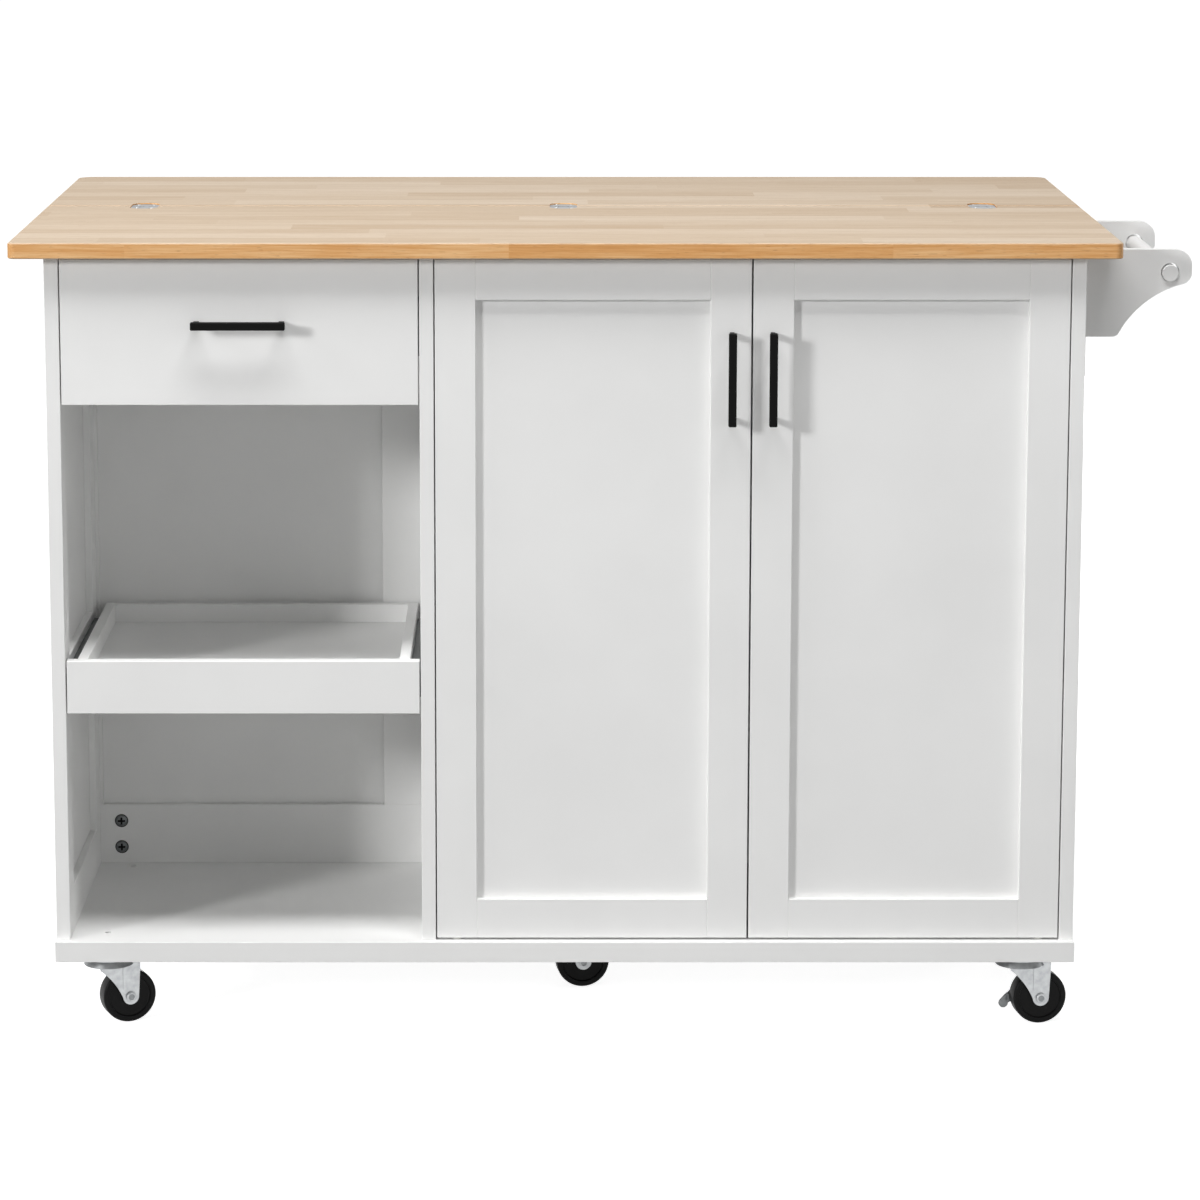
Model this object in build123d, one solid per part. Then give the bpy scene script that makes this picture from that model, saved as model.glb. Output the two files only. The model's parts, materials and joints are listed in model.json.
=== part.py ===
from build123d import *
import math
import os

# A rolling kitchen island: a white cabinet on five swivel casters under a wooden worktop.
# The worktop is a fixed board in front and a leaf behind it that folds up and over.
# +X is to the right, towards the towel rack. -Y is the front. +Z is up.
# The origin is on the floor under the middle of the whole island. Sizes are millimetres.

# Worktop
worktop_length = 1250.0
fixed_top_depth = 400.0
leaf_depth = 360.0
worktop_thickness = 18.0
seam_gap = 2.4
side_overhang = 38.5
front_overhang = 20.0
front_corner_radius = 9.0
rear_corner_radius = 20.0
seam_corner_radius = 5.0
worktop_edge_ease = 1.2

# Cabinet
base_thickness = 24.0
base_front_reach = 10.0
base_side_reach = 1.0
base_rear_reach = 3.0
cabinet_height = 792.5
inner_depth = 345.0
left_bay_width = 406.0
board_thickness = 16.0
board_ease = 0.5
top_rail_depth = 60.0
top_rail_setback = 36.0

# Framed panels of the sides, the back and the doors
infill_thickness = 5.0
infill_recess = 8.0
groove_depth = 6.0
groove_play = 0.2
side_stile_width = 45.0
side_bottom_rail_height = 53.0
side_middle_rail_height = 75.0
side_middle_rail_rise = 325.5
side_top_rail_height = 120.0
back_rail_height = 74.0
back_end_stile_width = 20.0
back_middle_stile_width = 75.0
back_middle_stile_reach = 56.0

# Doors and their pivots
door_gap = 1.5
door_meeting_gap = 2.0
door_end_gap = 2.5
door_frame_width = 46.0
pivot_inset = 22.0
pivot_pin_radius = 3.0
pivot_pin_grip = 20.0
pivot_pin_reach = 9.0
bush_radius = 5.0
bush_depth = 10.0
running_play = 0.05
resting_gap = 0.3

# Bar handles
handle_length = 106.0
handle_width = 9.0
handle_bar_depth = 8.0
handle_projection = 29.0
handle_ease = 1.0
handle_leg_inset = 2.0
handle_leg_length = 6.0
handle_leg_width = 5.0
door_handle_inset = 22.0
door_handle_rise = 654.0
drawer_handle_rise = 93.0

# Drawer and pull-out tray
front_thickness = 15.0
drawer_front_height = 165.5
box_side_thickness = 12.0
drawer_side_height = 110.0
drawer_box_depth = 318.0
drawer_box_lift = 14.0
tray_front_height = 61.0
tray_front_rise = 267.5
tray_side_height = 45.0
tray_depth = 341.0
tray_floor_drop = 22.0
box_floor_thickness = 4.0
box_floor_lift = 10.0

# Side runners
runner_length = 300.0
runner_height = 31.0
runner_space = 12.7
runner_wall = 1.2
runner_channel_depth = 9.5
runner_start = 2.0
runner_play = 0.4
drawer_runner_lift = 55.0

# Shelf behind the doors
shelf_rise = 390.0
shelf_thickness = 15.0
shelf_setback = 36.0
shelf_side_gap = 1.0
shelf_pin_radius = 2.5
shelf_pin_grip = 8.0
shelf_pin_reach = 9.0
shelf_pin_inset = 10.0

# Rear posts, their bolts and the swing-out leaf supports
post_width = 60.0
post_depth = 34.0
post_top_gap = 1.0
bolt_inset = 42.0
bolt_head_radius = 7.35
bolt_head_height = 2.5
bolt_spacing = 33.0
support_length = 300.0
support_height = 180.0
support_thickness = 18.0
support_nose_height = 40.0
support_foot_width = 70.0
support_sagitta = 34.0
support_nose_radius = 18.0
support_toe_radius = 15.0
hinge_height = 40.0
hinge_leaf_width = 22.0
hinge_leaf_thickness = 1.5
hinge_knuckle_radius = 3.5
hinge_pin_radius = 1.6
hinge_gap = 1.0
hinge_top_inset = 35.0
hinge_bottom_inset = 40.0

# Flush link hinges in the worktop seam
flap_hinge_width = 33.0
flap_hinge_reach = 32.0
flap_hinge_recess = 1.2
flap_hinge_thickness = 7.8
flap_hinge_play = 0.15
flap_hinge_spread = 507.0
flap_pin_depth = 4.2
flap_pin_radius = 1.5
flap_fold_gap = 0.5
flap_link_width = 12.0
flap_link_radius = 2.6

# Towel rack
arm_projection = 131.0
arm_height = 100.5
arm_thickness = 15.0
arm_nose_height = 38.0
arm_foot_width = 46.5
arm_sagitta = 13.0
arm_nose_radius = 19.0
arm_chin_radius = 14.0
arm_foot_radius = 8.0
arm_top_gap = 1.0
arm_front_setback = 84.0
arm_spacing = 296.0
rod_radius = 9.5
rod_hole_radius = 10.5
rod_tip_inset = 25.0
rod_drop = 26.0
rod_stand_out = 3.0

# Casters
caster_height = 83.5
caster_side_inset = 56.5
caster_front_inset = 42.0
caster_row_spacing = 298.0
caster_trail = 22.0
wheel_radius = 31.5
wheel_width = 22.0
wheel_shoulder = 2.5
axle_radius = 4.0
axle_head_radius = 6.0
axle_head_height = 2.5
axle_nut_width = 12.0
axle_nut_height = 5.0
fork_sheet = 2.0
fork_clearance = 1.2
fork_boss_radius = 9.5
fork_dish_radius = 29.0
fork_crown_radius = 25.0
fork_dish_height = 7.0
fork_front_reach = 14.0
fork_rear_reach = 12.0
fork_front_drop = 10.5
fork_edge_sagitta = 3.5
fork_rib_width = 1.6
fork_rib_proud = 0.8
stem_radius = 4.0
stem_length = 14.0
stem_cap_radius = 27.0
stem_cap_height = 5.0
kingpin_radius = 6.0
kingpin_head_radius = 9.0
kingpin_head_height = 2.6
brake_sheet = 2.0
brake_pivot_drop = 33.5
brake_pivot_setback = 14.0
brake_pivot_radius = 2.5
brake_eye_radius = 6.0
brake_rivet_head_radius = 4.0
brake_rivet_head_height = 1.5
brake_arm_width = 9.0
brake_tab_front = 17.5
brake_tab_rise = 21.5
brake_tab_length = 19.0
brake_tab_width = 11.0
brake_shoe_reach = 6.5
brake_shoe_thickness = 1.6
brake_shoe_height = 8.0
brake_shoe_drop = 5.0
brake_notch_radius = 3.0

# How far each wheel trails round from +X at rest, in degrees
caster_turns = {
    "front_left": 22.0,
    "front_right": 9.0,
    "middle": 8.0,
    "rear_left": 15.0,
    "rear_right": 5.0,
}

# How far a cutter runs past the face that it leaves
overrun = 5.0

# Places along X
overall_length = worktop_length - side_overhang + arm_projection
worktop_left = -overall_length / 2
worktop_right = worktop_left + worktop_length
cabinet_left = worktop_left + side_overhang
cabinet_right = worktop_right - side_overhang
cabinet_middle = (cabinet_left + cabinet_right) / 2
left_bay_left = cabinet_left + board_thickness
left_bay_right = left_bay_left + left_bay_width
right_bay_left = left_bay_right + board_thickness
right_bay_right = cabinet_right - board_thickness
right_bay_width = right_bay_right - right_bay_left

# Places along Y
handle_stand_out = handle_projection - front_overhang
overall_depth = handle_stand_out + fixed_top_depth + seam_gap + leaf_depth
worktop_front = handle_stand_out - overall_depth / 2
worktop_rear = overall_depth / 2
seam_front = worktop_front + fixed_top_depth
seam_rear = seam_front + seam_gap
seam_middle = (seam_front + seam_rear) / 2
cabinet_front = worktop_front + front_overhang
back_inner = cabinet_front + inner_depth
back_outer = back_inner + board_thickness
post_rear = back_outer + post_depth
base_front = cabinet_front - base_front_reach
base_rear = post_rear + base_rear_reach

# Places along Z
base_bottom = caster_height
base_top = base_bottom + base_thickness
worktop_under = base_top + cabinet_height
worktop_upper = worktop_under + worktop_thickness

# Worked-out sizes
door_width = (right_bay_width - door_gap - door_meeting_gap - door_gap) / 2
door_bottom = base_top + door_end_gap
door_top = worktop_under - door_end_gap
door_height = door_top - door_bottom
flap_pin_offset = flap_pin_depth + flap_fold_gap / 2
fork_inner = wheel_width / 2 + fork_clearance
fork_outer = fork_inner + fork_sheet
brake_near = fork_outer + fork_rib_proud + resting_gap
brake_far = brake_near + brake_sheet
crown_top = caster_height - stem_cap_height - resting_gap
crown_bottom = crown_top - fork_sheet
drawer_top = worktop_under - door_end_gap
drawer_bottom = drawer_top - drawer_front_height
drawer_box_bottom = drawer_bottom + drawer_box_lift
drawer_runner_height = drawer_box_bottom + drawer_runner_lift
tray_bottom = base_top + tray_front_rise
tray_top = tray_bottom + tray_front_height
tray_box_bottom = tray_top - tray_side_height
tray_runner_height = tray_box_bottom + runner_height / 2


def block(x_from, x_to, y_from, y_to, z_from, z_to):
    """A square-edged block between two corners."""
    corner = (Align.MIN, Align.MIN, Align.MIN)
    return Pos(x_from, y_from, z_from) * Box(x_to - x_from, y_to - y_from, z_to - z_from, align=corner)


def board(x_from, x_to, y_from, y_to, z_from, z_to, ease=board_ease):
    """A block with its arrises eased."""
    plain = block(x_from, x_to, y_from, y_to, z_from, z_to)
    return chamfer(plain.edges(), ease)


def rod_along(axis, centre, radius, length):
    """A round bar centred on a point, along X, Y or Z."""
    turns = {"X": Rot(0, 90, 0), "Y": Rot(90, 0, 0), "Z": Rot(0, 0, 0)}
    return Pos(*centre) * turns[axis] * Cylinder(radius, length)


def framed_panel(stiles, rails, height, through_rails=False):
    """Stiles and rails with thin infill panels let into their grooves.

    stiles are spans along X, rails are spans along Z, and the deeper recess faces -Y.
    Stiles run through and rails lie between them, or the other way round with through_rails.
    The result is the frame's pieces and the infill panels.
    """
    infills = []
    grooves = []
    for left, right in zip(stiles, stiles[1:]):
        for low, high in zip(rails, rails[1:]):
            span = (left[1] - groove_depth, right[0] + groove_depth)
            rise = (low[1] - groove_depth, high[0] + groove_depth)
            far = infill_recess + infill_thickness
            infills.append(block(*span, infill_recess, far, *rise))
            grooves.append(
                block(
                    span[0] - groove_play,
                    span[1] + groove_play,
                    infill_recess - groove_play,
                    far + groove_play,
                    rise[0] - groove_play,
                    rise[1] + groove_play,
                )
            )
    if through_rails:
        pieces = [board(stiles[0][0], stiles[-1][1], 0, board_thickness, *rail) for rail in rails]
        spans = [(low[1], high[0]) for low, high in zip(rails, rails[1:])]
        pieces += [board(*stile, 0, board_thickness, *span) for stile in stiles for span in spans]
    else:
        pieces = [board(*stile, 0, board_thickness, 0, height) for stile in stiles]
        spans = [(left[1], right[0]) for left, right in zip(stiles, stiles[1:])]
        pieces += [board(*span, 0, board_thickness, *rail) for span in spans for rail in rails]
    for groove in grooves:
        pieces = [piece - groove for piece in pieces]
    return pieces, infills


def moved(place, shapes):
    """The same shapes at another place."""
    return [place * shape for shape in shapes]


def mirrored(shapes):
    """Shapes of the left end carried over to the right end of the cabinet."""
    return [mirror(shape, about=Plane.YZ.offset(cabinet_middle)) for shape in shapes]


def shaped_arm(length, height, nose_height, foot_width, sagitta, nose_radius, chin_radius, foot_radius):
    """The outline of a bracket with its top at z 0, its root at x 0 and a hollow under its nose."""
    root_top = (0, 0)
    nose_top = (length, 0)
    nose_low = (length, -nose_height)
    foot_tip = (foot_width, -height)
    root_low = (0, -height)
    hollow = SagittaArc(nose_low, foot_tip, -sagitta)
    lines = [Line(root_top, nose_top), Line(nose_top, nose_low), hollow]
    lines += [Line(foot_tip, root_low), Line(root_low, root_top)]
    face = make_face(lines)
    for corner, radius in ((nose_top, nose_radius), (nose_low, chin_radius), (foot_tip, foot_radius)):
        vertex = face.vertices().sort_by_distance(corner)[0]
        face = fillet(vertex, radius)
    return face


# Worktop


def flap_hinge_centres():
    """The three hinges in the seam: one in the middle and one near each end."""
    middle = (worktop_left + worktop_right) / 2
    return [middle - flap_hinge_spread, middle, middle + flap_hinge_spread]


def flap_hinge_outline(reach, half_width):
    """Half of a hinge as seen from above, from the seam's middle back to its round end."""
    straight = reach - half_width
    plate = Pos(0, straight / 2) * Rectangle(2 * half_width, straight)
    return plate + Pos(0, straight) * Circle(half_width)


def flap_pocket(centre):
    """The sunk pocket for one rear half hinge, open at the seam."""
    outline = flap_hinge_outline(flap_hinge_reach + flap_hinge_play, flap_hinge_width / 2 + flap_hinge_play)
    depth = flap_hinge_recess + flap_hinge_thickness
    cut = extrude(outline, depth + overrun)
    return Pos(centre, seam_middle, worktop_upper - depth) * cut


def front_half(shape):
    """A rear half hinge turned round to the front of the seam."""
    return mirror(shape, about=Plane.XZ.offset(-seam_middle))


def worktop_board(y_from, y_to, outer_radius, outer_edge, seam_edge):
    """A worktop board with rounded corners, large at its outer edge and small at the seam."""
    plain = block(worktop_left, worktop_right, y_from, y_to, worktop_under, worktop_upper)
    uprights = plain.edges().filter_by(Axis.Z)
    outside = [edge for edge in uprights if abs(edge.center().Y - outer_edge) < outer_radius]
    rounded = fillet(outside, outer_radius)
    uprights = rounded.edges().filter_by(Axis.Z)
    inside = [edge for edge in uprights if abs(edge.center().Y - seam_edge) < outer_radius / 2]
    rounded = fillet(inside, seam_corner_radius)
    rims = rounded.faces().sort_by(Axis.Z)
    seam = [edge for edge in rounded.edges() if abs(edge.center().Y - seam_edge) < seam_corner_radius]
    outer = [edge for edge in rims[0].edges() + rims[-1].edges() if edge not in seam]
    return chamfer(outer, worktop_edge_ease)


def fixed_top():
    """The front board of the worktop with its hinge pockets and the sockets of the door pivots."""
    top = worktop_board(worktop_front, seam_front, front_corner_radius, worktop_front, seam_front)
    for centre in flap_hinge_centres():
        top -= front_half(flap_pocket(centre))
    for centre in door_pivots():
        top -= rod_along("Z", (*centre, worktop_under), bush_radius, 2 * bush_depth)
    return top


def leaf_top():
    """The folding leaf behind the seam."""
    leaf = worktop_board(seam_rear, worktop_rear, rear_corner_radius, worktop_rear, seam_rear)
    for centre in flap_hinge_centres():
        leaf -= flap_pocket(centre)
    return leaf


def flap_cup():
    """One rear half hinge: a round-ended plate with a slot for the link and the link's pin across it."""
    outline = flap_hinge_outline(flap_hinge_reach, flap_hinge_width / 2)
    cup = extrude(outline, flap_hinge_thickness)
    high = flap_hinge_thickness + overrun
    cup -= block(-flap_hinge_width, flap_hinge_width, -overrun, seam_gap / 2, -overrun, high)
    cup = Pos(0, 0, -flap_hinge_recess - flap_hinge_thickness) * cup
    slot_half = flap_link_width / 2 + resting_gap
    slot_end = flap_pin_offset + flap_link_radius + resting_gap
    slot_low = -flap_pin_depth - flap_link_radius - resting_gap
    cup -= block(-slot_half, slot_half, -overrun, slot_end, slot_low, overrun)
    pin_length = 2 * slot_half + flap_pin_radius
    return cup + rod_along("X", (0, flap_pin_offset, -flap_pin_depth), flap_pin_radius, pin_length)


def flap_link():
    """The short link that joins the two pins of a hinge."""
    half = flap_link_width / 2
    body = block(-half, half, -flap_pin_offset, flap_pin_offset, -flap_link_radius, flap_link_radius)
    for end in (-flap_pin_offset, flap_pin_offset):
        body += rod_along("X", (0, end, 0), flap_link_radius, flap_link_width)
    for end in (-flap_pin_offset, flap_pin_offset):
        body -= rod_along("X", (0, end, 0), flap_pin_radius + running_play, 2 * flap_link_width)
    return Pos(0, 0, -flap_pin_depth) * body


def flap_hinge_parts():
    """The front cups, the rear cups and the links of the three hinges."""
    places = [Pos(centre, seam_middle, worktop_upper) for centre in flap_hinge_centres()]
    rear_cups = [place * flap_cup() for place in places]
    front_cups = [front_half(cup) for cup in rear_cups]
    links = [place * flap_link() for place in places]
    return front_cups, rear_cups, links


# Cabinet


def caster_places():
    """The stem of each caster as seen from above."""
    left = cabinet_left + caster_side_inset
    right = cabinet_right - caster_side_inset
    front = base_front + caster_front_inset
    rear = front + caster_row_spacing
    return {
        "front_left": (left, front),
        "front_right": (right, front),
        "middle": (cabinet_middle, (front + rear) / 2),
        "rear_left": (left, rear),
        "rear_right": (right, rear),
    }


def door_pivots():
    """The upright axes of the two doors as seen from above."""
    inset = door_gap + pivot_inset
    depth = cabinet_front + board_thickness / 2
    return [(right_bay_left + inset, depth), (right_bay_right - inset, depth)]


def bottom_board():
    """The base board with a through hole for each caster stem and sockets for the door pivots."""
    left = cabinet_left - base_side_reach
    right = cabinet_right + base_side_reach
    base = board(left, right, base_front, base_rear, base_bottom, base_top)
    for place in caster_places().values():
        base -= rod_along("Z", (*place, base_bottom), stem_radius + running_play, 4 * base_thickness)
    for place in door_pivots():
        base -= rod_along("Z", (*place, base_top), bush_radius, 2 * bush_depth)
    return base


def side_frame():
    """A framed side lying in the plane of its own width and height."""
    stiles = [(0, side_stile_width), (inner_depth - side_stile_width, inner_depth)]
    rails = [
        (0, side_bottom_rail_height),
        (side_middle_rail_rise - side_middle_rail_height, side_middle_rail_rise),
        (cabinet_height - side_top_rail_height, cabinet_height),
    ]
    return framed_panel(stiles, rails, cabinet_height)


def cabinet_sides():
    """The two sides, each with its deeper recess towards the inside."""
    pieces, infills = side_frame()
    left = Pos(left_bay_left, cabinet_front, base_top) * Rot(0, 0, 90)
    right = Pos(right_bay_right, back_inner, base_top) * Rot(0, 0, -90)
    holes = shelf_pin_holes()
    left_pieces = moved(left, pieces)
    right_pieces = [piece - holes for piece in moved(right, pieces)]
    return left_pieces, moved(left, infills), right_pieces, moved(right, infills)


def divider_panel():
    """The plain board between the two bays."""
    plain = board(left_bay_right, right_bay_left, cabinet_front, back_inner, base_top, worktop_under)
    return plain - shelf_pin_holes()


def bolt_places():
    """The bolts of the rear posts as seen from the front: two through each rail at each end."""
    low = base_top + back_rail_height / 2
    high = worktop_under - back_rail_height / 2
    across = (cabinet_left + bolt_inset, cabinet_right - bolt_inset)
    spots = []
    for x in across:
        for rail in (low, high):
            spots += [(x, rail - bolt_spacing / 2), (x, rail + bolt_spacing / 2)]
    return spots


def back_panel():
    """The framed back: rails right across it, with a stile at each end and one behind the divider."""
    width = cabinet_right - cabinet_left
    middle_left = left_bay_right - back_middle_stile_reach - cabinet_left
    stiles = [
        (0, back_end_stile_width),
        (middle_left, middle_left + back_middle_stile_width),
        (width - back_end_stile_width, width),
    ]
    rails = [(0, back_rail_height), (cabinet_height - back_rail_height, cabinet_height)]
    pieces, infills = framed_panel(stiles, rails, cabinet_height, through_rails=True)
    place = Pos(cabinet_left, back_inner, base_top)
    return moved(place, pieces), moved(place, infills)


def top_rails():
    """The stretchers under the worktop, one in each bay, behind the drawer front and the doors."""
    front = cabinet_front + top_rail_setback
    spans = ((left_bay_left, left_bay_right), (right_bay_left, right_bay_right))
    low = worktop_under - board_thickness
    return [board(*span, front, front + top_rail_depth, low, worktop_under) for span in spans]


def shelf_pin_places():
    """The four pins under the shelf: the wall's face, the depth and the way into the bay."""
    front = cabinet_front + shelf_setback + shelf_pin_inset
    rear = back_inner - shelf_pin_inset
    height = base_top + shelf_rise - shelf_pin_radius
    walls = ((right_bay_left, 1), (right_bay_right, -1))
    return [(wall, depth, height, way) for wall, way in walls for depth in (front, rear)]


def shelf_pin_holes():
    """The blind holes of the shelf pins."""
    holes = []
    for wall, depth, height, way in shelf_pin_places():
        middle = (wall - way * shelf_pin_grip / 2, depth, height)
        holes.append(rod_along("X", middle, shelf_pin_radius + running_play, shelf_pin_grip + running_play))
    return holes


def shelf_pins():
    """Plain steel pins, half in the wall and half under the shelf."""
    pins = []
    for wall, depth, height, way in shelf_pin_places():
        length = shelf_pin_grip + shelf_pin_reach - running_play
        middle = wall + way * (shelf_pin_reach - shelf_pin_grip + running_play) / 2
        pins.append(rod_along("X", (middle, depth, height), shelf_pin_radius, length))
    return pins


def cupboard_shelf():
    """The loose shelf behind the doors."""
    left = right_bay_left + shelf_side_gap
    right = right_bay_right - shelf_side_gap
    low = base_top + shelf_rise
    front = cabinet_front + shelf_setback
    return board(left, right, front, back_inner - shelf_side_gap, low, low + shelf_thickness)


def bar_handle():
    """A square bar on two legs, lying along X with its feet at y 0."""
    half = handle_length / 2
    rise = handle_width / 2
    bar_back = handle_bar_depth - handle_projection
    handle = block(-half, half, -handle_projection, bar_back, -rise, rise)
    handle = chamfer(handle.edges(), handle_ease)
    leg_rise = handle_leg_width / 2
    leg_front = bar_back - handle_ease
    for x_from in (-half + handle_leg_inset, half - handle_leg_inset - handle_leg_length):
        handle += block(x_from, x_from + handle_leg_length, leg_front, 0, -leg_rise, leg_rise)
    return handle


# Doors


def door_frame():
    """A framed door with its hinge edge at x 0, its face at y 0 and sockets for the pivot pins."""
    stiles = [(0, door_frame_width), (door_width - door_frame_width, door_width)]
    rails = [(0, door_frame_width), (door_height - door_frame_width, door_height)]
    pieces, infills = framed_panel(stiles, rails, door_height)
    hinge_stile = pieces[0]
    pieces[0] = hinge_stile - pivot_pin_space(0) - pivot_pin_space(door_height)
    return pieces, infills


def pivot_pin_space(height):
    """The socket of a pivot pin in a door's hinge stile."""
    centre = (pivot_inset, board_thickness / 2, height)
    return rod_along("Z", centre, pivot_pin_radius + running_play, 2 * pivot_pin_grip)


def pivot_pins():
    """The two steel pins that stand out of a door's ends."""
    reach = door_end_gap + pivot_pin_reach
    length = pivot_pin_grip + reach
    pins = []
    for end, way in ((0, 1), (door_height, -1)):
        middle = end + way * (pivot_pin_grip - reach) / 2
        pins.append(rod_along("Z", (pivot_inset, board_thickness / 2, middle), pivot_pin_radius, length))
    return pins


def pivot_bush():
    """A bush let into the base, which stands up as far as the door that it carries."""
    proud = door_end_gap - resting_gap
    sleeve = Cylinder(bush_radius, bush_depth + proud, align=(Align.CENTER, Align.CENTER, Align.MAX))
    return Pos(0, 0, proud) * sleeve - Cylinder(pivot_pin_radius + running_play, 4 * bush_depth)


def pivot_bushes():
    """The bushes under and over the two doors."""
    bushes = []
    for x, y in door_pivots():
        bushes.append(Pos(x, y, base_top) * pivot_bush())
        bushes.append(Pos(x, y, worktop_under) * Rot(180, 0, 0) * pivot_bush())
    return bushes


def doors():
    """Both doors: the right one is the left one seen in a mirror between them."""
    pieces, infills = door_frame()
    pins = pivot_pins()
    handle_place = Pos(door_width - door_handle_inset, 0, door_handle_rise) * Rot(0, 90, 0)
    handle = [handle_place * bar_handle()]
    place = Pos(right_bay_left + door_gap, cabinet_front, door_bottom)
    left = [moved(place, group) for group in (pieces, infills, handle, pins)]
    meeting = Plane.YZ.offset((right_bay_left + right_bay_right) / 2)
    right = [[mirror(shape, about=meeting) for shape in group] for group in left]
    return left, right


# Drawer and tray


def sliding_box(depth, side_height, floor_low, front_low, front_high, box_low):
    """A box behind a flush front: its front, sides, back and the floor in their grooves."""
    left = left_bay_left + runner_space
    right = left_bay_right - runner_space
    box_front = cabinet_front + front_thickness
    box_rear = cabinet_front + depth
    box_high = box_low + side_height
    front_left = left_bay_left + door_gap
    front_right = left_bay_right - door_gap
    front = board(front_left, front_right, cabinet_front, box_front, front_low, front_high)
    sides = [
        board(left, left + box_side_thickness, box_front, box_rear, box_low, box_high),
        board(right - box_side_thickness, right, box_front, box_rear, box_low, box_high),
    ]
    inner_left = left + box_side_thickness
    inner_right = right - box_side_thickness
    back = board(inner_left, inner_right, box_rear - box_side_thickness, box_rear, box_low, box_high)
    bite = box_side_thickness / 2
    floor = block(
        inner_left - bite,
        inner_right + bite,
        box_front - bite,
        box_rear - bite,
        floor_low,
        floor_low + box_floor_thickness,
    )
    groove = block(
        inner_left - bite - groove_play,
        inner_right + bite + groove_play,
        box_front - bite - groove_play,
        box_rear - bite + groove_play,
        floor_low - groove_play,
        floor_low + box_floor_thickness + groove_play,
    )
    return front - groove, [side - groove for side in sides], back - groove, floor


def runner_channel(height):
    """The fixed outer member of a runner on the left wall of the bay."""
    low = height - runner_height / 2
    start = cabinet_front + front_thickness + runner_start
    end = start + runner_length
    outer = block(left_bay_left, left_bay_left + runner_channel_depth, start, end, low, low + runner_height)
    hollow_left = left_bay_left + runner_wall
    hollow_right = left_bay_left + runner_channel_depth + overrun
    hollow_low = low + runner_wall
    hollow_high = low + runner_height - runner_wall
    return outer - block(hollow_left, hollow_right, start - overrun, end + overrun, hollow_low, hollow_high)


def runner_rail(height):
    """The sliding inner member of a runner, a channel the other way round, on the left of the box."""
    half = runner_height / 2 - runner_wall - runner_play
    start = cabinet_front + front_thickness + runner_start
    end = start + runner_length
    left = left_bay_left + runner_wall + runner_play
    right = left_bay_left + runner_space
    outer = block(left, right, start, end, height - half, height + half)
    low = height - half + runner_wall
    high = height + half - runner_wall
    return outer - block(left - overrun, right - runner_wall, start - overrun, end + overrun, low, high)


def both_sides_of_bay(shape):
    """A runner on the left of the left bay and its twin on the right."""
    return [shape, mirror(shape, about=Plane.YZ.offset((left_bay_left + left_bay_right) / 2))]


def drawer_parts():
    """The drawer under the worktop."""
    floor_low = drawer_box_bottom + box_floor_lift
    spans = (drawer_bottom, drawer_top, drawer_box_bottom)
    return sliding_box(drawer_box_depth, drawer_side_height, floor_low, *spans)


def tray_parts():
    """The shallow pull-out tray halfway up the open bay."""
    floor_low = tray_top - tray_floor_drop - box_floor_thickness
    return sliding_box(tray_depth, tray_side_height, floor_low, tray_bottom, tray_top, tray_box_bottom)


def drawer_handle():
    """The drawer's handle in the middle of its front."""
    middle = (left_bay_left + left_bay_right) / 2
    return Pos(middle, cabinet_front, drawer_bottom + drawer_handle_rise) * bar_handle()


# Rear posts and leaf supports


def rail_bolts():
    """The heads of the bolts that hold the rear posts, on the back's rails inside the bays."""
    middle = back_inner - bolt_head_height / 2
    return [rod_along("Y", (x, middle, z), bolt_head_radius, bolt_head_height) for x, z in bolt_places()]


def support_posts():
    """The two posts behind the back that the leaf supports swing on."""
    high = worktop_under - post_top_gap
    post = board(cabinet_left, cabinet_left + post_width, back_outer, post_rear, base_top, high)
    return [post] + mirrored([post])


def support_axis():
    """The upright hinge axis of the left support as seen from above."""
    return cabinet_left + post_width + hinge_gap, post_rear + hinge_knuckle_radius


def hinge_heights():
    """The middles of the two hinges of a support."""
    top = worktop_under - resting_gap
    return [top - hinge_top_inset, top - support_height + hinge_bottom_inset]


def support_bracket():
    """The left support at rest: swung out under the leaf, pointing to the rear."""
    outline = shaped_arm(
        support_length,
        support_height,
        support_nose_height,
        support_foot_width,
        support_sagitta,
        support_nose_radius,
        support_nose_radius,
        support_toe_radius,
    )
    plate = extrude(Plane.XZ * outline, -support_thickness)
    axis_x, axis_y = support_axis()
    left = axis_x + hinge_knuckle_radius + support_thickness
    return Pos(left, axis_y + hinge_gap, worktop_under - resting_gap) * Rot(0, 0, 90) * plate


def hinge_barrel(height, low_share, high_share):
    """A length of a hinge's barrel, between two shares of the hinge's height."""
    axis_x, axis_y = support_axis()
    bottom = height - hinge_height / 2
    low = bottom + hinge_height * low_share
    high = bottom + hinge_height * high_share
    middle = (axis_x, axis_y, (low + high) / 2)
    return rod_along("Z", middle, hinge_knuckle_radius, high - low)


def hinge_plate(height):
    """The fixed half of a left hinge: a leaf on the post, its two knuckles and the pin."""
    axis_x, axis_y = support_axis()
    low = height - hinge_height / 2
    left = axis_x - hinge_leaf_width
    leaf_rear = post_rear + hinge_leaf_thickness
    knuckle_share = 1 / 3
    plate = block(left, axis_x, post_rear, leaf_rear, low, low + hinge_height)
    gap = block(
        axis_x - hinge_knuckle_radius - resting_gap,
        axis_x + overrun,
        post_rear - overrun,
        axis_y + overrun,
        low + hinge_height * knuckle_share - resting_gap,
        low + hinge_height * (1 - knuckle_share) + resting_gap,
    )
    plate = plate + hinge_barrel(height, 0, 1) - gap
    return plate + rod_along("Z", (axis_x, axis_y, height), hinge_pin_radius, hinge_height)


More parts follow.
